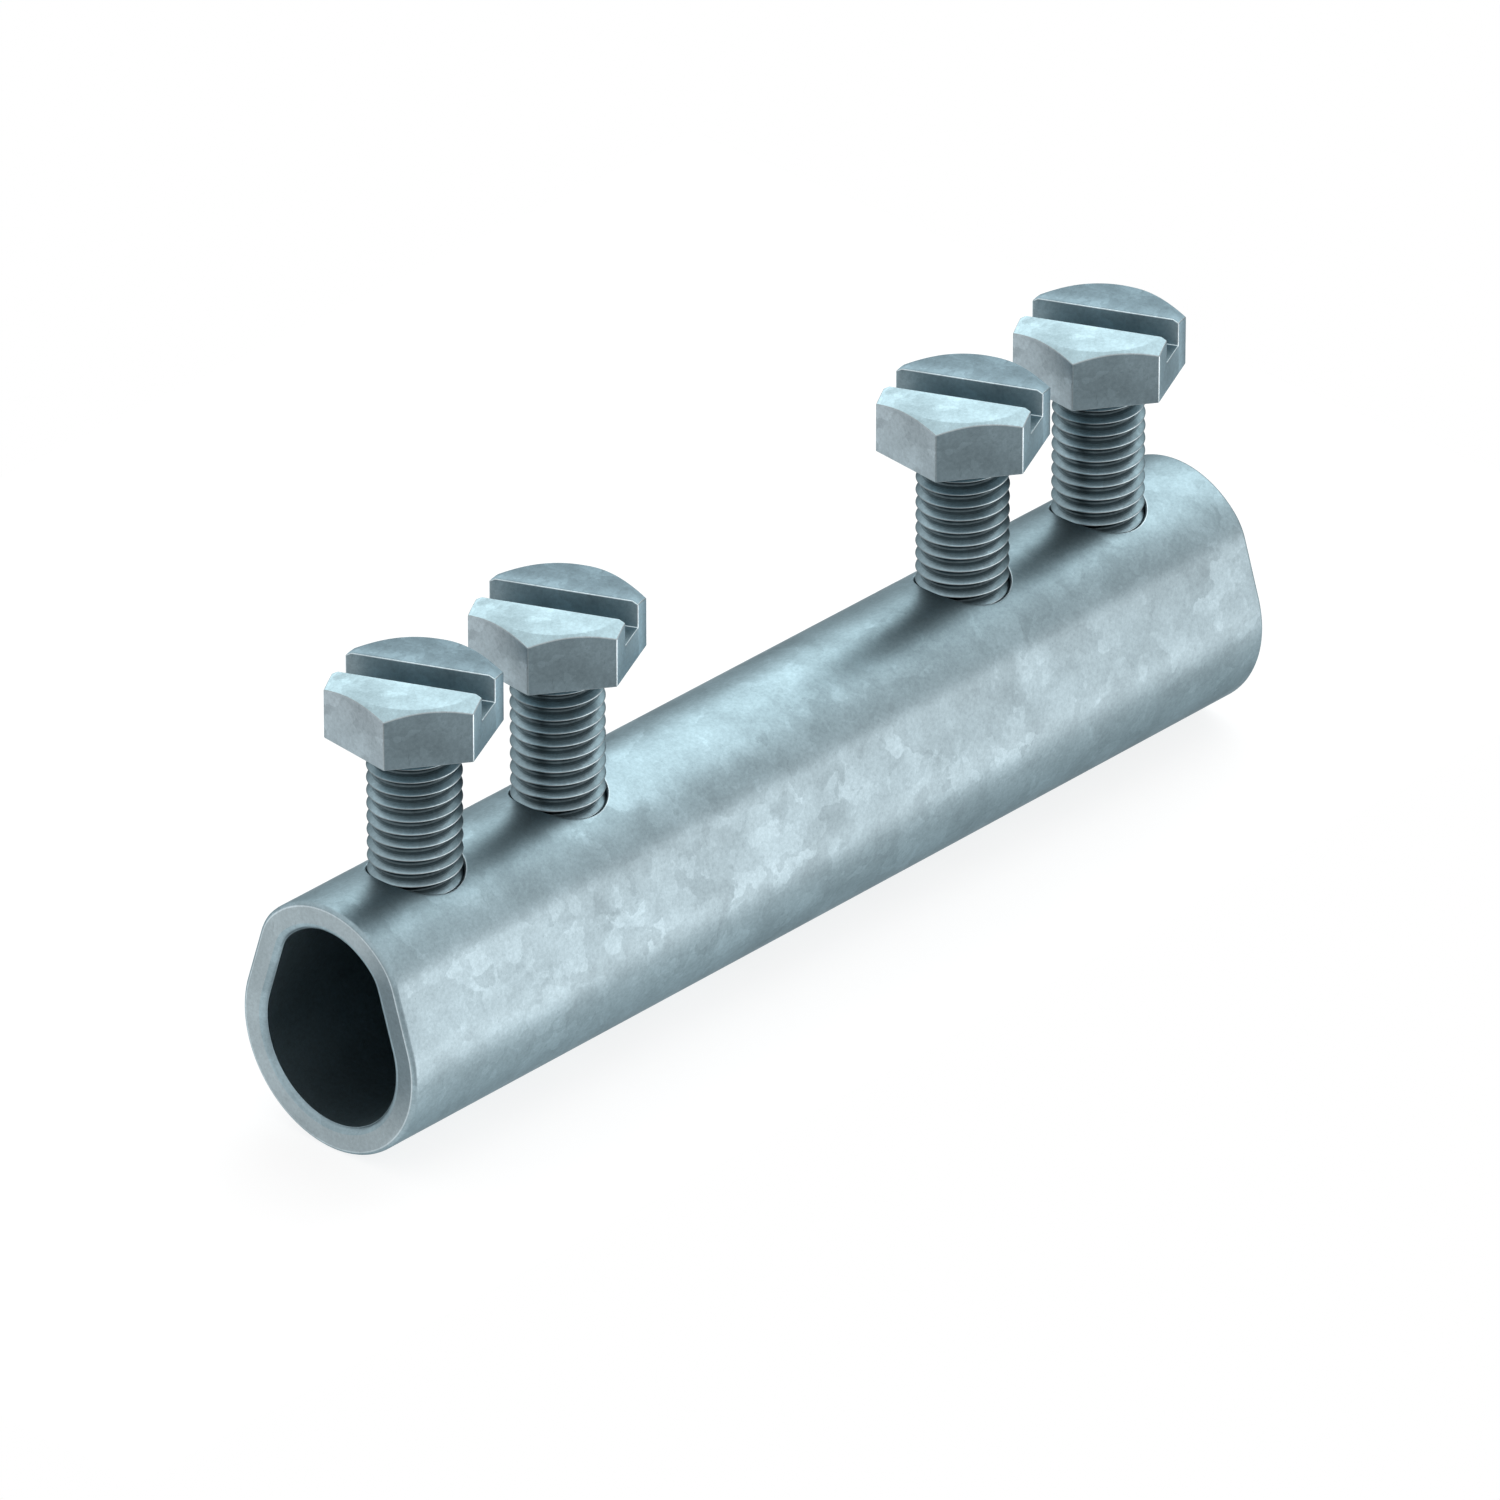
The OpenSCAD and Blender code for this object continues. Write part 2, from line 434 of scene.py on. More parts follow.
def build_shank(mesh, top):
    """Adds the shank from a height inside the head down to the tip, closed at both ends."""
    crest_height = CREST_Z - head_z - PITCH * (CREST_TURN - HEAD_TURN) / math.tau
    profile = [thread_radius(place) for place in row_places]
    first = math.floor((-SHANK_L - crest_height) / PITCH) - 2
    last = math.ceil((top - crest_height) / PITCH) + 1
    rows = []
    for row in range((last - first) * ROWS_PER_PITCH):
        pitches, place = divmod(row, ROWS_PER_PITCH)
        foot = crest_height + (first + pitches) * PITCH + row_places[place]
        ring = []
        for step in range(TURN_STEPS):
            turn, z = math.tau * step / TURN_STEPS, foot + PITCH * step / TURN_STEPS
            radius = min(profile[place], THREAD_R - TIP_BEVEL + z + SHANK_L)
            radius = max(radius, THREAD_R - THREAD_DEPTH - TIP_BEVEL)
            ring.append(mesh.verts.new((radius * math.cos(turn), radius * math.sin(turn), z)))
        rows.append(ring)
    for row in range(len(rows) - ROWS_PER_PITCH - 1):
        for step in range(TURN_STEPS):
            wrap = ROWS_PER_PITCH if step == TURN_STEPS - 1 else 0
            after = (step + 1) % TURN_STEPS
            face = mesh.faces.new((rows[row][step], rows[row + wrap][after],
                                   rows[row + wrap + 1][after], rows[row + 1][step]))
            # The crest rows take the paler zinc: partly wear, partly a painted highlight
            face.material_index = int(row % ROWS_PER_PITCH in CREST_HIGHLIGHT_ROWS)
    for level, up in ((top, 1), (-SHANK_L, -1)):
        everything = mesh.verts[:] + mesh.edges[:] + mesh.faces[:]
        cut = bmesh.ops.bisect_plane(mesh, geom=everything, dist=1e-9, plane_co=(0, 0, level),
                                     plane_no=(0, 0, up), clear_outer=True)
        rim_edges = [item for item in cut["geom_cut"] if isinstance(item, bmesh.types.BMEdge)]
        bmesh.ops.contextual_create(mesh, geom=rim_edges)
    loose = [v for v in mesh.verts if not v.link_faces]
    bmesh.ops.delete(mesh, geom=loose, context="VERTS")


print("thread radius, mm:", round(thread_radius(0) / MM, 2), "at the crest and",
      round(thread_radius(PITCH / 2) / MM, 2), "in the root")

# %% [markdown]
# ## The slotted head
#
# The head starts as a hexagon whose top corners are turned off by a cone of
# 30 degrees, which leaves the curved edges that dip between the corners. Rows
# of points from the middle outwards follow that cone exactly. A milled slot
# then crosses two of the flats. The slot is a plain cut, so here a boolean is
# the quick and clean way, and a bevel modifier breaks all edges a little.

# %% Shape the hexagon
CORNER = math.pi / 3
HEAD_AF = 16.0 * MM
HEAD_TOP_R = 15.3 / 2 * MM
BEVEL_SLOPE = math.tan(math.radians(30))
SIDE_STEPS = 16


def hexagon_reach(turn):
    """Distance from the middle to the side of the hexagon, which has a corner at turn 0."""
    return HEAD_AF / 2 / math.cos(turn % CORNER - CORNER / 2)


def build_head(mesh):
    """Adds the hexagon with its turned top, without the slot."""
    across = [math.tan(CORNER / 2) * (2 * step / SIDE_STEPS - 1) for step in range(SIDE_STEPS)]
    turns = [CORNER * side + CORNER / 2 + math.atan(a) for side in range(6) for a in across]
    rings = []
    for place in ("top", "edge", "foot"):
        ring = []
        for turn in turns:
            reach = hexagon_reach(turn)
            edge = HEAD_H - BEVEL_SLOPE * (reach - HEAD_TOP_R)
            places = {"top": (HEAD_TOP_R, HEAD_H), "edge": (reach, edge), "foot": (reach, 0.0)}
            radius, z = places[place]
            ring.append(mesh.verts.new((radius * math.cos(turn), radius * math.sin(turn), z)))
        rings.append(ring)
    for upper, lower in zip(rings, rings[1:]):
        for k in range(len(turns)):
            m = (k + 1) % len(turns)
            mesh.faces.new((upper[k], lower[k], lower[m], upper[m]))
    mesh.faces.new(rings[0])
    mesh.faces.new(rings[-1][::-1])


print("hexagon, mm:", round(HEAD_AF / MM, 2), "across the flats and",
      round(2 * hexagon_reach(0) / MM, 2), "across the corners")

# %% Cut the slot
SLOT_W, SLOT_DEPTH = 4.0 * MM, 3.0 * MM


def temporary(name, build, *args):
    """An object made by a build function, to be used up by a boolean."""
    mesh = bmesh.new()
    build(mesh, *args)
    bmesh.ops.recalc_face_normals(mesh, faces=mesh.faces[:])
    data = bpy.data.meshes.new(name)
    mesh.to_mesh(data)
    mesh.free()
    thing = bpy.data.objects.new(name, data)
    scene.collection.objects.link(thing)
    return thing


def build_slot(mesh):
    """Adds the block that mills the slot, along Y."""
    size = Vector((SLOT_W, 2 * HEAD_AF, 2 * SLOT_DEPTH))
    place = Matrix.Translation((0, 0, HEAD_H)) @ Matrix.Diagonal((*size, 1))
    bmesh.ops.create_cube(mesh, size=1.0, matrix=place)


def apply_modifiers(thing):
    """Bakes the modifiers of an object into its own mesh."""
    graph = bpy.context.evaluated_depsgraph_get()
    data = bpy.data.meshes.new_from_object(thing.evaluated_get(graph))
    thing.modifiers.clear()
    thing.data = data


def combine(thing, other, operation):
    """Joins other to thing or cuts it out of thing, and removes other."""
    modifier = thing.modifiers.new(operation.lower(), "BOOLEAN")
    modifier.operation, modifier.object, modifier.solver = operation, other, "EXACT"
    apply_modifiers(thing)
    bpy.data.objects.remove(other)


head = temporary("head", build_head)
combine(head, temporary("slot", build_slot), "DIFFERENCE")
print("head with its slot:", len(head.data.polygons), "faces")

# %% [markdown]
# ## Edges that catch the light
#
# No edge of a real part is perfectly sharp, and a zinc dip rounds it further.
# The bevel modifier rolls over each edge of the head by about a tenth of a
# millimetre and gives these faces the second material slot, which later holds
# a slightly paler zinc: partly wear, partly a painted highlight on the edges.
# The thread is added after that, so that its own fine faces stay as they are.

# %% Break the edges and add the shank
EDGE_BREAK, EDGE_SEGMENTS = 0.09 * MM, 3
# How far the shank reaches up into the head
SHANK_ROOT = 1.0 * MM

break_edges = head.modifiers.new("break edges", "BEVEL")
break_edges.width, break_edges.segments = EDGE_BREAK, EDGE_SEGMENTS
break_edges.limit_method, break_edges.angle_limit = "ANGLE", SHARP_TURN
# The paler zinc of the broken edges is partly wear and partly a painted highlight
break_edges.material = 1
break_edges.use_clamp_overlap = True
head.data.materials.append(None)
head.data.materials.append(None)
apply_modifiers(head)
combine(head, temporary("shank", build_shank, SHANK_ROOT), "UNION")
shade_softly(head.data)
print("screw:", len(head.data.polygons), "faces,",
      sum(1 for face in head.data.polygons if face.material_index), "of them pale")

# %% [markdown]
# ## Shades of the single faces
#
# A screw isn't evenly grey, and the shades of its faces are painted light and
# shade. One half of its top carries a painted highlight and the other half
# painted shade. The flats, one corner and the far side of the slot carry
# painted light of their own, and the slot floor painted shade. The shank is
# painted darker, with painted shade in the root and under each turn, and a
# paler crest that is partly wear and partly a painted glint. Each face keeps
# its own shade as an attribute of the mesh, which the finish reads later. The
# turned corners blend into the top without a line, so for the light they face
# straight up.

# %% Choose a shade for each kind of face
PLAIN = (1.0, 1.0, 1.0)
# Painted shade: the whole shank is darker than the head
SHANK_SHADE = (0.62, 0.635, 0.64)
# Painted light: the shank is paler on the side of this turn
SHANK_PALE_TURN, SHANK_EVEN, SHANK_SWING = math.radians(185), 0.83, 0.62
# Painted shade darkens the underside of each turn of the thread, and its root. It
# fades out between these two shares of the way from the root to the crest.
ROOT_SHADE, FLANK_SHADE = 0.35, 1.22
SHADED_TO, UNSHADED_FROM = 0.08, 0.5
# The crests carry a painted glint round this turn, and a high power keeps it short
CREST_BRIGHT_TURN, CREST_EVEN, CREST_SWING, CREST_POWER = math.radians(236), 0.42, 0.85, 10
# Painted highlight on the near half of the top, painted shade on the far half
NEAR_TOP_HIGHLIGHT, FAR_TOP_SHADE = (1.32, 1.31, 1.29), (0.545, 0.555, 0.57)
# Painted shade on the floor of the slot
SLOT_FLOOR_SHADE = (0.8, 0.8, 0.8)
# Shades of the broken edges, with a painted highlight on one corner and on the far edges of the
# slot
EDGE_SHADE = (0.7, 0.7, 0.7)
BRIGHT_CORNER, CORNER_REACH, BRIGHT_CORNER_SHADE = math.radians(240), 0.1, (1.35, 1.35, 1.35)
SLOT_EDGE_REACH, SLOT_EDGE_SHADE = 0.15 * MM, (0.98, 0.98, 0.98)
# Painted light and shade of each pair of flats, by the direction in degrees that one of them faces
FLAT_SHADES = {30: (1.02, 1.03, 1.04), 150: (1.26, 1.15, 1.13), 90: (1.12, 1.19, 1.22)}
# A normal that rises more than this points up, and one that rises less than that is level
UPWARD, LEVEL = 0.8, 0.1
# How closely a normal follows the direction of a flat, where 1 is exactly
SQUARE_ON = 0.99


def shank_shade(face, turn):
    """The painted light and shade of a face of the thread, by its turn round the screw and its
    depth.
    """
    if face.material_index:
        # Painted glint along the crest rows, brightest round one turn
        glint = max(0, math.cos(turn - CREST_BRIGHT_TURN)) ** CREST_POWER
        return (CREST_EVEN + CREST_SWING * glint,) * 3
    side = SHANK_EVEN + SHANK_SWING * max(0, math.cos(turn - SHANK_PALE_TURN))
    outward = 1 - (THREAD_R - math.hypot(face.center.x, face.center.y)) / THREAD_DEPTH
    # Painted shade: darkest in the root and under each turn, fading out up the flank
    unshaded = (outward - SHADED_TO) / (UNSHADED_FROM - SHADED_TO) if face.normal.z > 0 else 0
    side *= ROOT_SHADE + (FLANK_SHADE - ROOT_SHADE) * min(max(unshaded, 0), 1)
    return tuple(side * part for part in SHANK_SHADE)


def edge_shade(face, turn):
    """The shade of a broken edge of the head, with painted highlights on one corner and on the far
    slot edges.
    """
    if abs(face.center.x - SLOT_W / 2) < SLOT_EDGE_REACH:
        return SLOT_EDGE_SHADE
    off_corner = abs(math.remainder(turn - BRIGHT_CORNER, math.tau))
    bright = off_corner < CORNER_REACH and abs(face.normal.z) < LEVEL
    return BRIGHT_CORNER_SHADE if bright else EDGE_SHADE


def face_shade(face):
    """The painted light and shade on a face of the screw, as a factor on plain zinc."""
    turn = math.atan2(face.center.y, face.center.x)
    if face.center.z < 0:
        return shank_shade(face, turn)
    if face.material_index:
        return edge_shade(face, turn)
    if face.normal.z > UPWARD:
        # Painted shade on the floor of the slot
        if abs(face.center.x) < SLOT_W / 2:
            return SLOT_FLOOR_SHADE
        # Painted highlight on the near half of the top, painted shade on the far half
        return NEAR_TOP_HIGHLIGHT if face.center.x < 0 else FAR_TOP_SHADE
    far_out = math.hypot(face.center.x, face.center.y) > HEAD_AF / 3
    # Painted light and shade by the direction that a flat faces
    for degrees, shade in FLAT_SHADES.items():
        across = Vector((math.cos(math.radians(degrees)), math.sin(math.radians(degrees)), 0))
        if far_out and abs(face.normal.dot(across)) > SQUARE_ON:
            return shade
    return PLAIN


face_values = [face_shade(face) for face in head.data.polygons]
print("shades of the faces:", round(min(green for _, green, _ in face_values), 2), "to",
      round(max(green for _, green, _ in face_values), 2))

# %% Give the shades and the soft top to the screw
# The turned corners dip below the top, but never this deep
above_slot_floor = HEAD_H - 0.9 * SLOT_DEPTH

shades = head.data.attributes.new("shade", "FLOAT_VECTOR", "FACE")
shades.data.foreach_set("vector", [part for value in face_values for part in value])
top_faces = [face for face in head.data.polygons if not face.material_index
             and face.normal.z > UPWARD and face.center.z > above_slot_floor]
facing = [corner.vector.copy() for corner in head.data.corner_normals]
for face in top_faces:
    for corner in face.loop_indices:
        facing[corner] = Vector((0, 0, 1))
head.data.normals_split_custom_set(facing)
print("faces of the top that count as level for the light:", len(top_faces))

# %% Place the screws
screws = []
for number, x in enumerate(screw_x, start=1):
    screw = bpy.data.objects.new(f"slotted_screw_{number}", head.data)
    scene.collection.objects.link(screw)
    screw.matrix_world = Matrix.Translation((x, 0, head_z)) @ Matrix.Rotation(HEAD_TURN, 4, "Z")
    screws.append(screw)
bpy.data.objects.remove(head)
print("screws at, mm:", [round(x / MM, 2) for x in screw_x])

# %% [markdown]
# ## Pieces on their bodies
#
# The physics moves five bodies, the sleeve and the four screws. Each piece
# rides on one body and stands for one solid, which is then hidden. The pieces
# could be fitted to the solids here, but they were made in their places from
# the start, which leaves nothing to fit.

# %% Hang the pieces on the solid model
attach(sleeve, "sleeve_body")
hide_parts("sleeve")
for screw, node, body in zip(screws, SCREWS, ("screw_1", "screw_2", "screw_3", "screw_4")):
    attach(screw, body)
    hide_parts(node)
print("pieces on their bodies:", 1 + len(screws))

# %% [markdown]
# ## A small kit for nodes
#
# A finish is a tree of nodes, and each node is made, set and joined in the
# same way. A few short helpers keep the finishes below readable: one makes a
# node, one feeds a socket with a number or with another node's output, and
# the others make the sums and textures that come up again and again.

# %% Make and join nodes
def feed(tree, socket, value):
    """Joins an output to a socket, or sets the socket to a plain value."""
    if isinstance(value, bpy.types.NodeSocket):
        tree.links.new(value, socket)
    else:
        socket.default_value = value


def add_node(tree, kind, settings=(), **inputs):
    """A new node with its settings made and its inputs fed. Underscores stand for spaces."""
    node = tree.nodes.new(kind)
    for name, value in dict(settings).items():
        setattr(node, name, value)
    for name, value in inputs.items():
        feed(tree, node.inputs[name.replace("_", " ")], value)
    return node


# %% Work out numbers, vectors and colours
def maths(tree, operation, *values, clamp=False):
    """The result of a sum of numbers."""
    node = add_node(tree, "ShaderNodeMath", {"operation": operation, "use_clamp": clamp})
    for socket, value in zip(node.inputs, values):
        feed(tree, socket, value)
    return node.outputs[0]


def vectors(tree, operation, *values, result="Vector"):
    """The result of a sum of vectors."""
    node = add_node(tree, "ShaderNodeVectorMath", {"operation": operation})
    for socket, value in zip(node.inputs, values):
        feed(tree, socket, value)
    return node.outputs[result]


def times(tree, vector, factor):
    """The vector made longer or shorter by a factor."""
    product = vectors(tree, "SCALE", vector)
    feed(tree, product.node.inputs["Scale"], factor)
    return product


def blend(tree, share, low, high):
    """The colour that lies share of the way from low to high."""
    node = add_node(tree, "ShaderNodeMix", {"data_type": "RGBA"})
    for name, value in (("Factor_Float", share), ("A_Color", low), ("B_Color", high)):
        feed(tree, next(s for s in node.inputs if s.identifier == name), value)
    return next(s for s in node.outputs if s.identifier == "Result_Color")


def stretch(tree, value, low, high):
    """The value moved so that low becomes 0 and high becomes 1, eased and held between them."""
    node = add_node(tree, "ShaderNodeMapRange", {"interpolation_type": "SMOOTHSTEP"},
                    Value=value, From_Min=low, From_Max=high)
    return node.outputs["Result"]


# %% Lay textures, and take colours and places apart
def noise(tree, place, scale, detail, roughness):
    """The outputs of a noise texture."""
    return add_node(tree, "ShaderNodeTexNoise", Vector=place, Scale=scale, Detail=detail,
                    Roughness=roughness).outputs


def cells(tree, place, scale):
    """The outputs of a texture of Voronoi cells."""
    return add_node(tree, "ShaderNodeTexVoronoi", {"feature": "F1"}, Vector=place,
                    Scale=scale).outputs


def channels(tree, colour):
    """The red, green and blue of a colour, by name."""
    return add_node(tree, "ShaderNodeSeparateColor", Color=colour).outputs


def coordinates(tree, place):
    """The X, Y and Z of a place or a direction, by name."""
    return add_node(tree, "ShaderNodeSeparateXYZ", Vector=place).outputs


# %% Make and place groups
def new_group(name, inputs, outputs):
    """An empty node group with named sockets, its input node and its output node."""
    group = bpy.data.node_groups.new(name, "ShaderNodeTree")
    for label, kind, value in inputs:
        socket = group.interface.new_socket(label, in_out="INPUT", socket_type=kind)
        if value is not None:
            socket.default_value = value
    for label, kind in outputs:
        group.interface.new_socket(label, in_out="OUTPUT", socket_type=kind)
    return group, group.nodes.new("NodeGroupInput"), group.nodes.new("NodeGroupOutput")


def place_group(tree, group, **inputs):
    """A node in the tree that stands for the group."""
    return add_node(tree, "ShaderNodeGroup", {"node_tree": group}, **inputs)


# %% [markdown]
# ## Spangle, the pattern of a hot zinc dip
#
# As the zinc freezes, crystals grow over the steel. Each one lies at its own
# angle, so each reflects a little more or less light than the next. On this
# part they are soft patches of two to eight millimetres with ragged edges.
# Voronoi cells are the natural start, but their straight borders look like
# cracked mud, so noise bends the coordinates first. Two sizes of cells are
# laid over each other. A second use of the same noise lets some borders fade
# away, and every cell also tips the surface a little.

# %% Build the spangle group
# How far noise bends the borders of the patches, as a share of their size
LOBE_REACH, RAGGED_REACH = 1.5, 0.3
# How much smaller the second size of cells is
SMALL_CELLS = 2.1
# How far patches darker than the middle stand out, compared with lighter ones
DARK_STEPS = 0.5
# Noise between these lets the steps between patches grow from faint by that much
FADE_EDGES, FAINT_STEP, STEP_GROWTH = (0.38, 0.62), 0.7, 0.7
# A soft swell of the tone under the patches, its lowest value and its range
SWELL_LOW, SWELL_RANGE = 0.1, 0.8
MIDDLE_GREY = (0.5, 0.5, 0.5)


def build_spangle():
    """Puts out a tone from 0 to 1 for each patch, a fine grain and a normal that patches tip."""
    group, given, result = new_group(
        "zinc spangle",
        [("Place", "NodeSocketVector", None), ("Patch", "NodeSocketFloat", 5.0),
         ("Tip", "NodeSocketFloat", 0.06)],
        [("Tone", "NodeSocketFloat"), ("Grain", "NodeSocketFloat"),
         ("Normal", "NodeSocketVector")])
    place = given.outputs["Place"]
    in_patches = times(group, place, maths(group, "DIVIDE", 1.0, given.outputs["Patch"]))
    lobes = noise(group, in_patches, scale=1.2, detail=2.0, roughness=0.5)
    ragged = noise(group, in_patches, scale=4.5, detail=3.0, roughness=0.6)
    bent = in_patches
    for bend, reach in ((lobes, LOBE_REACH), (ragged, RAGGED_REACH)):
        push = times(group, vectors(group, "SUBTRACT", bend["Color"], MIDDLE_GREY), reach)
        bent = vectors(group, "ADD", bent, push)
    large = cells(group, bent, 1.0)
    small = cells(group, bent, SMALL_CELLS)
    soft = channels(group, lobes["Color"])
    patches = blend(group, 0.5, large["Color"], small["Color"])
    steps = maths(group, "SUBTRACT", channels(group, patches)["Red"], 0.5)
    steps = maths(group, "MAXIMUM", steps, maths(group, "MULTIPLY", steps, DARK_STEPS))
    fade = stretch(group, soft["Blue"], *FADE_EDGES)
    growth = maths(group, "MULTIPLY_ADD", fade, STEP_GROWTH, FAINT_STEP)
    steps = maths(group, "MULTIPLY", steps, growth)
    swell = maths(group, "MULTIPLY_ADD", soft["Green"], SWELL_RANGE, SWELL_LOW)
    feed(group, result.inputs["Tone"], maths(group, "ADD", steps, swell, clamp=True))
    grain = noise(group, place, scale=2.4, detail=2.0, roughness=0.8)
    feed(group, result.inputs["Grain"], grain["Fac"])
    tip = times(group, vectors(group, "SUBTRACT", patches, MIDDLE_GREY), given.outputs["Tip"])
    facing = add_node(group, "ShaderNodeNewGeometry").outputs["Normal"]
    tipped = vectors(group, "NORMALIZE", vectors(group, "ADD", facing, tip))
    feed(group, result.inputs["Normal"], tipped)
    return group


spangle = build_spangle()
print("spangle group:", len(spangle.nodes), "nodes")

# %% [markdown]
# ## Handling marks
#
# A galvanised part is tumbled, stacked and screwed down, so it carries short
# fine scratches and a faint cloudiness. Both pieces have them, so they are a
# group as well. The scratches are long thin Voronoi cells, of which only the
# narrow middle of a few shows.

# %% Build the group of handling marks
# Axis and angle that turn the scratches away from the edges of the part
SCRATCH_AXIS, SCRATCH_ANGLE = (0.5, 0.6, 0.62), 1.9
# How many times longer than wide they are, and the share of cells without one
SCRATCH_STRETCH, UNSCRATCHED = 14.0, 0.93
# Distances from the middle of a cell where a scratch is gone and where it is full
SCRATCH_EDGES = (0.28, 0.08)
CLOUD_EDGES = (0.3, 0.7)


def build_marks():
    """Puts out scratches and clouds as masks from 0 to 1."""
    group, given, result = new_group(
        "handling marks",
        [("Place", "NodeSocketVector", None), ("Length", "NodeSocketFloat", 3.0)],
        [("Scratch", "NodeSocketFloat"), ("Cloud", "NodeSocketFloat")])
    place = given.outputs["Place"]
    turned = add_node(group, "ShaderNodeVectorRotate", {"rotation_type": "AXIS_ANGLE"},
                      Vector=place, Axis=SCRATCH_AXIS, Angle=SCRATCH_ANGLE).outputs["Vector"]
    thin = vectors(group, "MULTIPLY", turned, (1.0, SCRATCH_STRETCH, SCRATCH_STRETCH))
    in_lengths = times(group, thin, maths(group, "DIVIDE", 1.0, given.outputs["Length"]))
    strips = cells(group, in_lengths, 1.0)
    chosen = maths(group, "GREATER_THAN", channels(group, strips["Color"])["Green"], UNSCRATCHED)
    core = stretch(group, strips["Distance"], *SCRATCH_EDGES)
    feed(group, result.inputs["Scratch"], maths(group, "MULTIPLY", core, chosen))
    clouds = noise(group, place, scale=0.15, detail=2.0, roughness=0.55)
    feed(group, result.inputs["Cloud"], stretch(group, clouds["Fac"], *CLOUD_EDGES))
    return group


marks = build_marks()
print("marks group:", len(marks.nodes), "nodes")

# %% [markdown]
# ## The zinc itself
#
# Zinc is a metal, so Metallic is 1 and the base colour is what it reflects.
# The slots in the photograph show how dark that really is: a wall that sees
# only one other wall keeps the product of both, and that gives a bluish grey
# that reflects a good third of the light. The dip leaves the surface dull, so
# the roughness is middling and varies with the patches.

# %% Shade the coat across a piece, partly with painted light and shade
# Painted highlight beside the slot, brightest at the second of these places across it, in mm
SLOT_SIDE, SLOT_SIDE_GAIN = (2.0, 2.4, 4.5), 0.35
# How much paler the sleeve gets with each millimetre towards -X
PALING_PER_MM = 0.0014
# Painted shade on the end faces: its squashed measure, its middle and its edges in mm
END_SHADE_SQUASH, END_SHADE_MIDDLE, END_SHADE_EDGES = (0, 1, 0.7), (0, -9.5, 3.5), (3.0, 9.0)
END_SHADE_TINT, NO_SHADE = (0.46, 0.505, 0.527, 1), (1, 1, 1, 1)


def face_shades(tree, place):
    """The painted shade that each face of a screw carries, with a painted highlight along the far
    side of the slot.
    """
    shade = add_node(tree, "ShaderNodeAttribute", {"attribute_name": "shade"}).outputs["Vector"]
    across = coordinates(tree, place)["X"]
    start, peak, end = SLOT_SIDE
    beside = maths(tree, "MULTIPLY", stretch(tree, across, start, peak),
                   stretch(tree, across, end, peak))
    return times(tree, shade, maths(tree, "MULTIPLY_ADD", beside, SLOT_SIDE_GAIN, 1.0))


def lengthwise_paling(tree, place):
    """The coat of the sleeve, a little paler towards -X."""
    return maths(tree, "MULTIPLY_ADD", coordinates(tree, place)["X"], -PALING_PER_MM, 1.0)


def end_painted_shade(tree, place):
    """A soft bluish painted shade on one side of the cut end faces."""
    flat_place = vectors(tree, "MULTIPLY", place, END_SHADE_SQUASH)
    away = vectors(tree, "DISTANCE", flat_place, END_SHADE_MIDDLE, result="Value")
    return blend(tree, stretch(tree, away, *END_SHADE_EDGES), END_SHADE_TINT, NO_SHADE)


print("shade of the sleeve from end to end:", round(1 + PALING_PER_MM * HALF_LENGTH / MM, 2), "to",
      round(1 - PALING_PER_MM * HALF_LENGTH / MM, 2))

# %% Make the finishes
ZINC = (0.285, 0.375, 0.415)
END_ZINC = (0.365, 0.435, 0.465)
RIM_HIGHLIGHT_ZINC = (0.50, 0.59, 0.63)
BRIGHT_ZINC = (0.56, 0.66, 0.70)
# Tint of what the metal mirrors at a glancing angle
EDGE_TINT = (0.45, 0.5, 0.52, 1)
# How much grain, clouds and scratches change the tone
GRAIN, CLOUD, SCRATCH = 0.52, 0.5, 0.25
SCRATCH_LENGTH = 3.0
# Pale patches are smoother than dark ones by this much
ROUGHNESS_SWING = 0.06
GRAIN_HEIGHT, SCRATCH_DEPTH = 0.3, 0.5
BUMP_STRENGTH, BUMP_HEIGHT = 0.25, 0.02 * MM


def place_in_mm(tree):
    """The place on the piece in its own millimetres."""
    return times(tree, add_node(tree, "ShaderNodeTexCoord").outputs["Object"], 1 / MM)


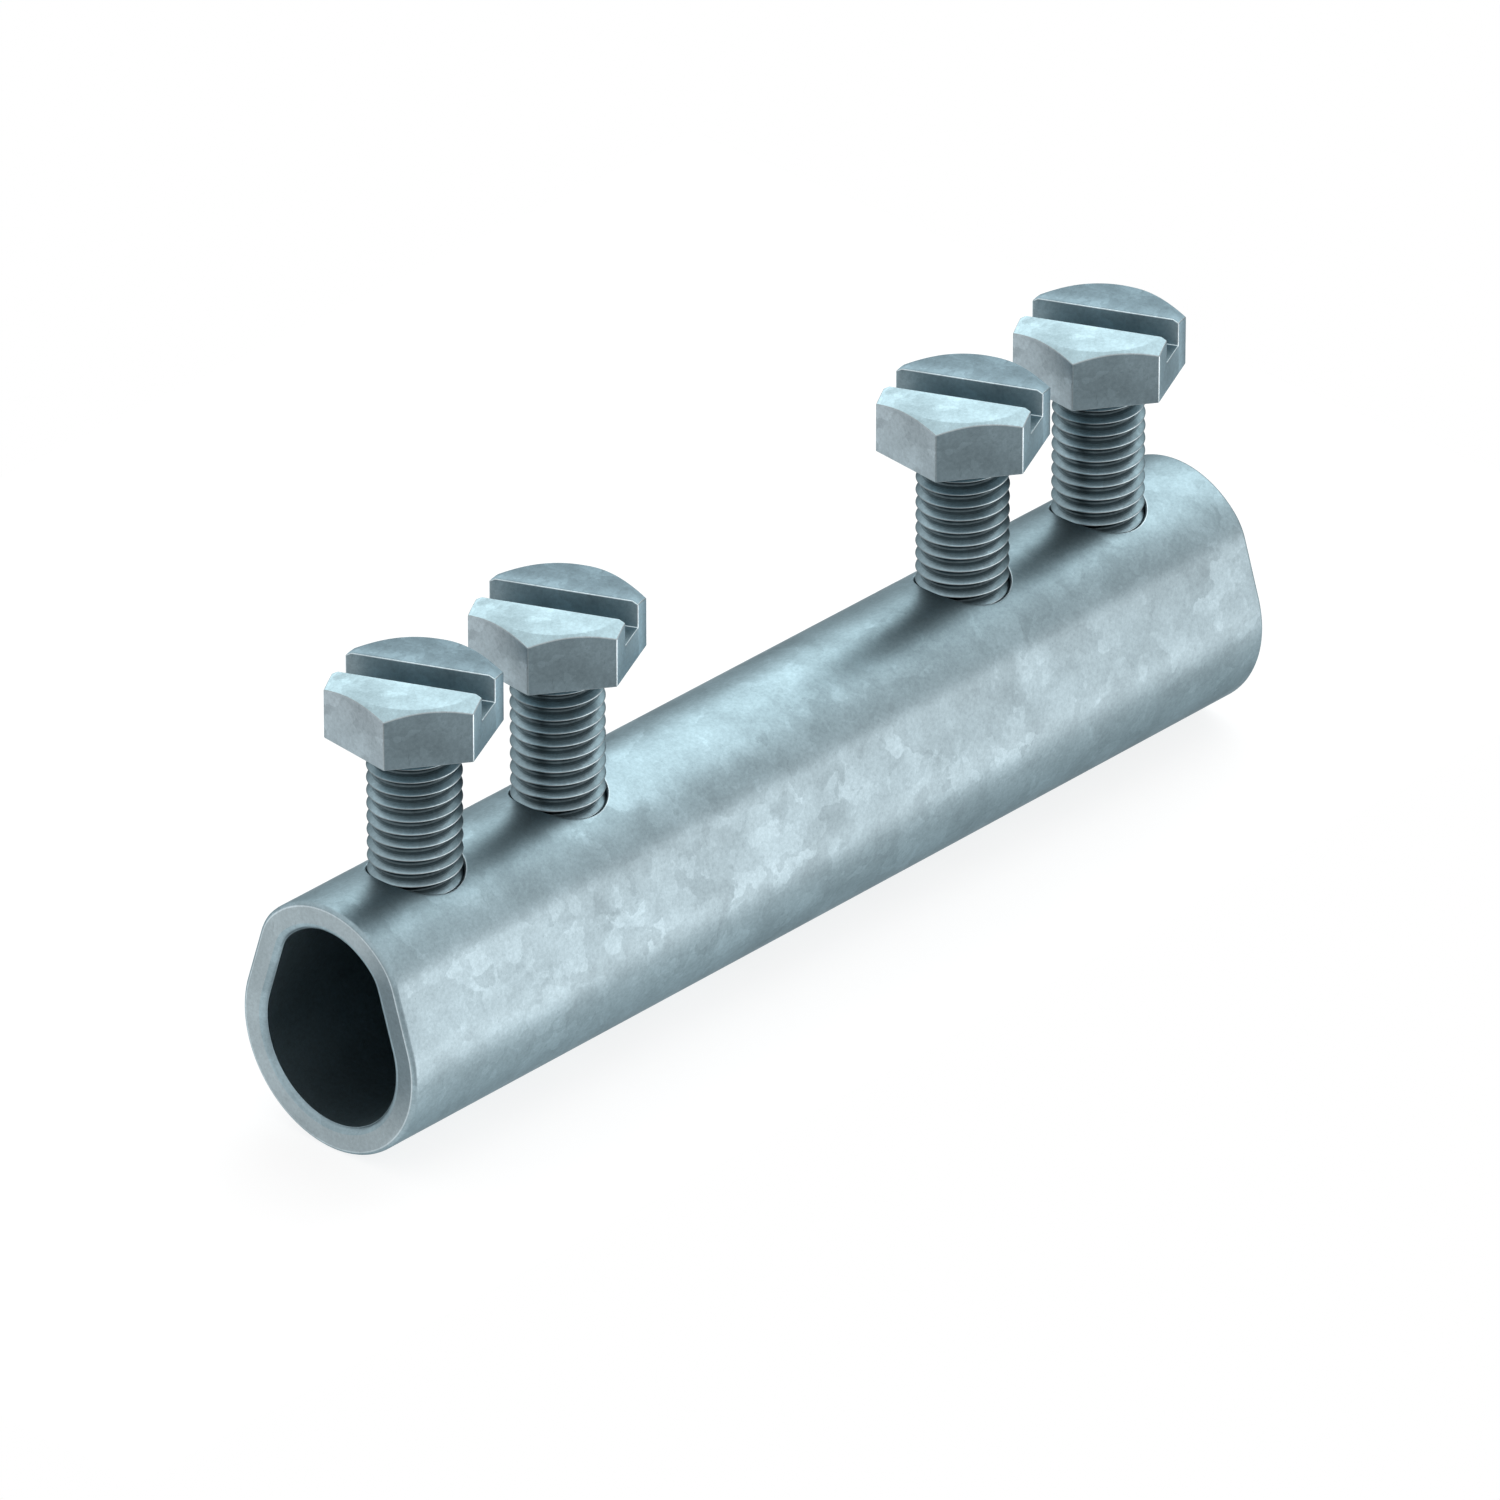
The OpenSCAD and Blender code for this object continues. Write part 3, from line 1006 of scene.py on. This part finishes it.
def zinc_finish(name, colour, patch=5.0, contrast=0.28, tip=0.035, roughness=0.42, shade=None):
    """A galvanised finish. Shade may be a function that puts out a further shade of the coat, such
    as painted light and shade.
    """
    material = bpy.data.materials.new(name)
    material.use_nodes = True
    tree = material.node_tree
    shader = tree.nodes["Principled BSDF"].inputs
    place = place_in_mm(tree)
    crystals = place_group(tree, spangle, Place=place, Patch=patch, Tip=tip).outputs
    worn = place_group(tree, marks, Place=place, Length=SCRATCH_LENGTH).outputs
    # With half of each mask, the tone is 1
    darkest = 1 - contrast * (1 + CLOUD) / 2
    tone = maths(tree, "MULTIPLY_ADD", crystals["Tone"], contrast, darkest)
    tone = maths(tree, "MULTIPLY_ADD", worn["Cloud"], contrast * CLOUD, tone)
    grain = maths(tree, "MULTIPLY_ADD", crystals["Grain"], GRAIN, 1 - GRAIN / 2)
    scratch = maths(tree, "MULTIPLY_ADD", worn["Scratch"], -SCRATCH, 1.0)
    tone = maths(tree, "MULTIPLY", maths(tree, "MULTIPLY", tone, grain), scratch)
    coat = times(tree, colour, tone)
    if shade:
        coat = vectors(tree, "MULTIPLY", coat, shade(tree, place))
    feed(tree, shader["Base Color"], coat)
    shader["Metallic"].default_value = 1.0
    shader["Specular Tint"].default_value = EDGE_TINT
    rough = maths(tree, "MULTIPLY_ADD", crystals["Tone"], -ROUGHNESS_SWING,
                  roughness + ROUGHNESS_SWING / 2)
    feed(tree, shader["Roughness"], rough)
    height = maths(tree, "SUBTRACT", maths(tree, "MULTIPLY", crystals["Grain"], GRAIN_HEIGHT),
                   maths(tree, "MULTIPLY", worn["Scratch"], SCRATCH_DEPTH))
    bump = add_node(tree, "ShaderNodeBump", Strength=BUMP_STRENGTH, Distance=BUMP_HEIGHT,
                    Height=height, Normal=crystals["Normal"])
    feed(tree, shader["Normal"], bump.outputs["Normal"])
    return material


finishes = {
    "sleeve_zinc": zinc_finish("sleeve_zinc", ZINC, contrast=0.31, tip=0.028, shade=lengthwise_paling),
    # Paler zinc for the painted highlights on the rims and mouths of the sleeve
    "sleeve_rim_highlight_zinc": zinc_finish("sleeve_rim_highlight_zinc", RIM_HIGHLIGHT_ZINC, tip=0.03, roughness=0.38),
    # Painted shade on one side of the end faces
    "sleeve_end_zinc": zinc_finish("sleeve_end_zinc", END_ZINC, contrast=0.12, tip=0.03,
                                   shade=end_painted_shade),
    "screw_zinc": zinc_finish("screw_zinc", ZINC, patch=4.5, contrast=0.4, tip=0.04,
                              roughness=0.40, shade=face_shades),
    # Paler zinc on the broken edges: partly wear, partly a painted highlight
    "screw_edge_wear_and_highlight_zinc": zinc_finish("screw_edge_wear_and_highlight_zinc", BRIGHT_ZINC, patch=4.5, tip=0.02,
                                   roughness=0.36, shade=face_shades),
}
print("finishes:", ", ".join(finishes))

# %% Lay the finishes on the pieces
for piece, names in ((sleeve, ("sleeve_zinc", "sleeve_rim_highlight_zinc", "sleeve_end_zinc")),
                     (screws[0], ("screw_zinc", "screw_edge_wear_and_highlight_zinc"))):
    slots = piece.data.materials
    for index, name in enumerate(names):
        if index < len(slots):
            slots[index] = finishes[name]
        else:
            slots.append(finishes[name])
    counts = [sum(1 for face in piece.data.polygons if face.material_index == n)
              for n in range(len(slots))]
    print(piece.name, "faces in each finish:", counts)

# %% [markdown]
# ## The studio
#
# Metal shows its surroundings, so most of the light is in what it reflects.
# The photograph shows soft white surroundings, a large bright lamp high at
# the back, which draws the pale band along the crown, and a low panel at the
# right, which draws the broad band along the flank. A fainter panel low at
# the left is what the near end face mirrors. Down towards the floor it is
# greyer, and that keeps the edges of the metal apart from the white behind
# them.

# %% Surround the part with light
FILL_LIGHT = 0.75
WHITE = (1, 1, 1, 1)
# What the metal mirrors goes from this grey to white between these rises of a ray
LOW_GREY = 0.45
HORIZON_LOW, HORIZON_HIGH = -0.3, 0.45
# Azimuth and height of each panel's middle, how wide it spreads in degrees, and its light
PANELS = [(43, -18, 31, (2.3, 2.08, 2.02)), (-140, -29, 40, (0.72, 0.68, 0.68))]


def build_panel_group():
    """A soft round panel of light round a direction."""
    group, given, result = new_group(
        "soft panel",
        [("Direction", "NodeSocketVector", None), ("Middle", "NodeSocketVector", None),
         ("Edge", "NodeSocketFloat", 0.8), ("Light", "NodeSocketVector", None)],
        [("Light", "NodeSocketVector")])
    along = vectors(group, "DOT_PRODUCT", given.outputs["Direction"], given.outputs["Middle"],
                    result="Value")
    glow = stretch(group, along, given.outputs["Edge"], 1.0)
    feed(group, result.inputs["Light"], times(group, given.outputs["Light"], glow))
    return group


def ray_kinds(tree):
    """Whether a ray comes from the camera, and whether it shows in metal or through glass."""
    path = add_node(tree, "ShaderNodeLightPath").outputs
    shown = maths(tree, "MAXIMUM", path["Is Glossy Ray"], path["Is Transmission Ray"])
    return path["Is Camera Ray"], shown


panel_group = build_panel_group()
world = bpy.data.worlds.new("studio")
scene.world = world
world.use_nodes = True
sky = world.node_tree
sky.nodes.clear()
towards = add_node(sky, "ShaderNodeTexCoord").outputs["Generated"]
rise = stretch(sky, coordinates(sky, towards)["Z"], HORIZON_LOW, HORIZON_HIGH)
seen = times(sky, (1, 1, 1), maths(sky, "MULTIPLY_ADD", rise, 1 - LOW_GREY, LOW_GREY))
for azimuth, height, spread_angle, light in PANELS:
    panel = place_group(sky, panel_group, Direction=towards, Light=light,
                        Middle=direction(math.radians(azimuth), math.radians(height)),
                        Edge=math.cos(math.radians(spread_angle)))
    seen = vectors(sky, "ADD", seen, panel.outputs["Light"])
camera_rays, mirrored_rays = ray_kinds(sky)
plain_light = maths(sky, "MAXIMUM", camera_rays, FILL_LIGHT)
background = add_node(sky, "ShaderNodeBackground", Color=blend(sky, mirrored_rays, WHITE, seen),
                      Strength=maths(sky, "MAXIMUM", mirrored_rays, plain_light))
add_node(sky, "ShaderNodeOutputWorld", Surface=background.outputs["Background"])
print("surroundings:", len(sky.nodes), "nodes,", len(PANELS), "panels")

# %% Hang the key lamp
KEY_AZIMUTH, KEY_HEIGHT = math.radians(108), math.radians(47)
# How far away it is and how wide, in metres, and how brightly it glows
KEY_DISTANCE, KEY_SIZE, KEY_GLOW = 1.2, 1.24, 1.35
KEY_COLOUR = (0.93, 1.0, 1.0)

key_data = bpy.data.lights.new("key", "AREA")
key_data.shape, key_data.size = "SQUARE", KEY_SIZE
key_data.energy = math.pi * KEY_SIZE ** 2 * KEY_GLOW
key_data.color = KEY_COLOUR
key = bpy.data.objects.new("key", key_data)
scene.collection.objects.link(key)
middle_of_part = (solid_low + solid_high) / 2
aim(key, middle_of_part + direction(KEY_AZIMUTH, KEY_HEIGHT) * KEY_DISTANCE, middle_of_part)
key.visible_camera = False
print("key light, W:", round(key_data.energy, 2))

# %% [markdown]
# ## The floor
#
# The part lies on a plain pale table top, and the white studio goes on behind
# it without a line. The camera should see the floor white, as in the
# photograph, but still with a soft shadow. So the floor gets most of its
# white from its own glow and the rest from the light that really falls on it,
# which is the share that the shadow takes away. Rays that the metal mirrors
# see the same white floor as the camera. Seen from below, the floor is clear,
# so that it never hides the underside of the sleeve.

# %% Lay the floor
SHADOW_SHARE = 0.3
FLOOR_COLOUR, FLOOR_GLOW = (0.9, 0.9, 0.9, 1), 1.15
left, right, front, back = (side * MM for side in (-125, 125, -31, 125))
floor_mesh = bmesh.new()
floor_mesh.faces.new([floor_mesh.verts.new((x, y, solid_low.z)) for x, y in
                      ((left, front), (right, front), (right, back), (left, back))])
floor = to_object("floor", floor_mesh)
pale = bpy.data.materials.new("pale_floor")
pale.use_nodes = True
tree = pale.node_tree
tree.nodes.clear()


def mix_shaders(share, first, second):
    """The floor's first shader and its second one, mixed."""
    node = add_node(tree, "ShaderNodeMixShader", Fac=share)
    feed(tree, node.inputs[1], first)
    feed(tree, node.inputs[2], second)
    return node.outputs["Shader"]


lit = add_node(tree, "ShaderNodeBsdfDiffuse", Color=FLOOR_COLOUR).outputs["BSDF"]
glow = add_node(tree, "ShaderNodeEmission", Strength=FLOOR_GLOW).outputs["Emission"]
seen_rays = maths(tree, "MAXIMUM", *ray_kinds(tree))
white_floor = mix_shaders(maths(tree, "MULTIPLY", seen_rays, 1 - SHADOW_SHARE), lit, glow)
below = add_node(tree, "ShaderNodeNewGeometry").outputs["Backfacing"]
clear = add_node(tree, "ShaderNodeBsdfTransparent").outputs["BSDF"]
add_node(tree, "ShaderNodeOutputMaterial", Surface=mix_shaders(below, white_floor, clear))
floor.data.materials.append(pale)
print("floor, mm:", round((right - left) / MM), "by", round((back - front) / MM))

# %% [markdown]
# ## The view transform
#
# The pieces that the eye sees have to fill the same box as the solid model,
# or they would miss what the physics touches. The last cell sets the plain
# Standard view transform.

# %% Set the view transform
scene.view_settings.view_transform = "Standard"
